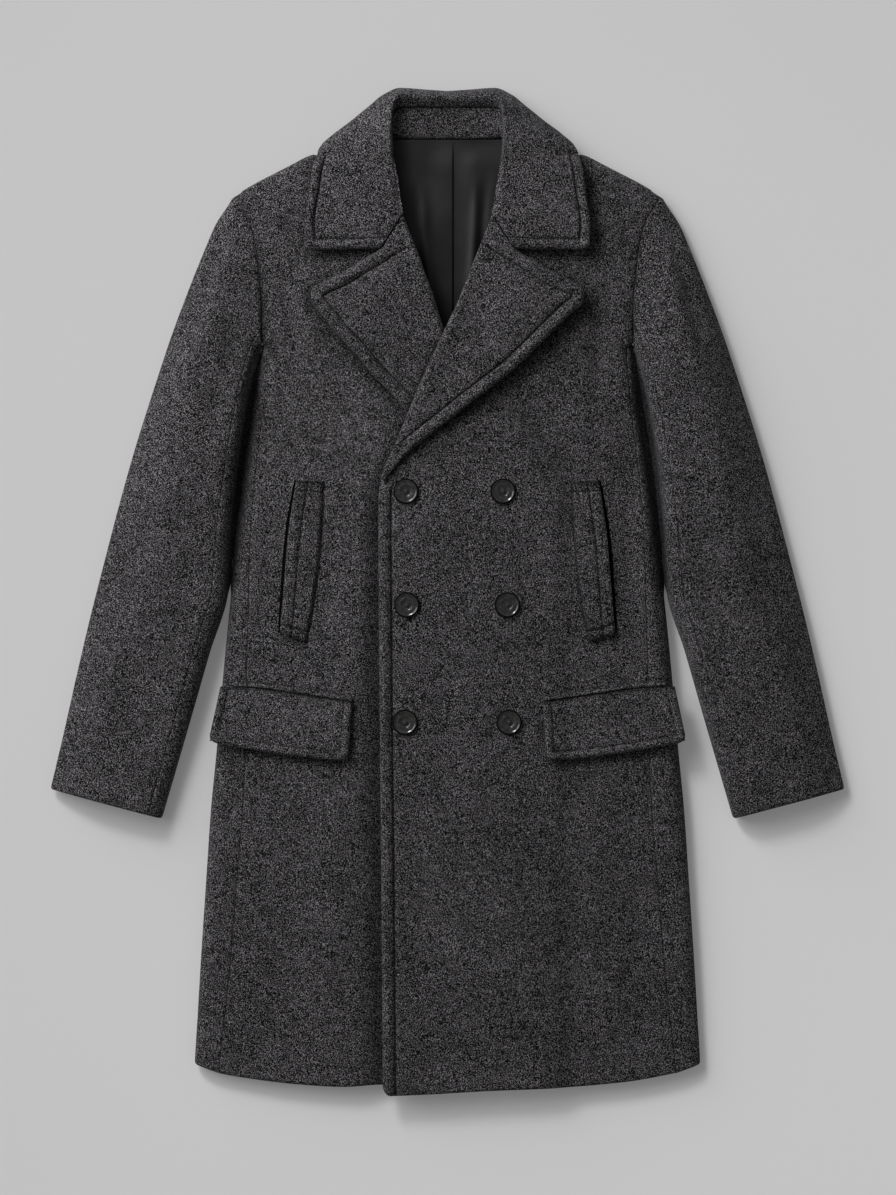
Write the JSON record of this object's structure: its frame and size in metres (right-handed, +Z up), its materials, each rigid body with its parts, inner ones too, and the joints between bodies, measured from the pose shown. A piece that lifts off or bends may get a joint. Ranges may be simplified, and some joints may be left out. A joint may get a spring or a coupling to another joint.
{
  "type": "double-breasted overcoat",
  "caption": "Wool overcoat laid flat on its back, fronts lapped and closed, with turned collar, peaked lapels, flap pockets and slanted hand-pocket welts.",
  "frame": {"origin": "middle of the box round the coat, on the surface it lies on", "axes": "+Y from hem to collar, +X to the wearer's left, +Z up, away from the surface"},
  "size_m": [0.836, 1.0574, 0.0582],
  "materials": {
    "wool": "charcoal melange wool with a short brushed nap",
    "satin_lining": "near-black satin weave",
    "button_plastic": "polished, dark"
  },
  "bodies": {
    "root": {"back": "wool", "back_lining": "satin_lining", "button_1_1": "button_plastic", "button_1_2": "button_plastic", "button_2_1": "button_plastic", "button_2_2": "button_plastic", "button_3_1": "button_plastic", "button_3_2": "button_plastic", "collar": "wool", "collar_stand": "wool", "flap_left": "wool", "flap_right": "wool", "front_left": "wool", "front_right": "wool", "jet_left": "wool", "jet_right": "wool", "lapel_left": "wool", "lapel_right": "wool", "side_left": "wool", "side_right": "wool", "sleeve_top_left": "wool", "sleeve_top_right": "wool", "sleeve_under_left": "wool", "sleeve_under_right": "wool", "welt_left": "wool", "welt_right": "wool"}
  },
  "joints": []
}
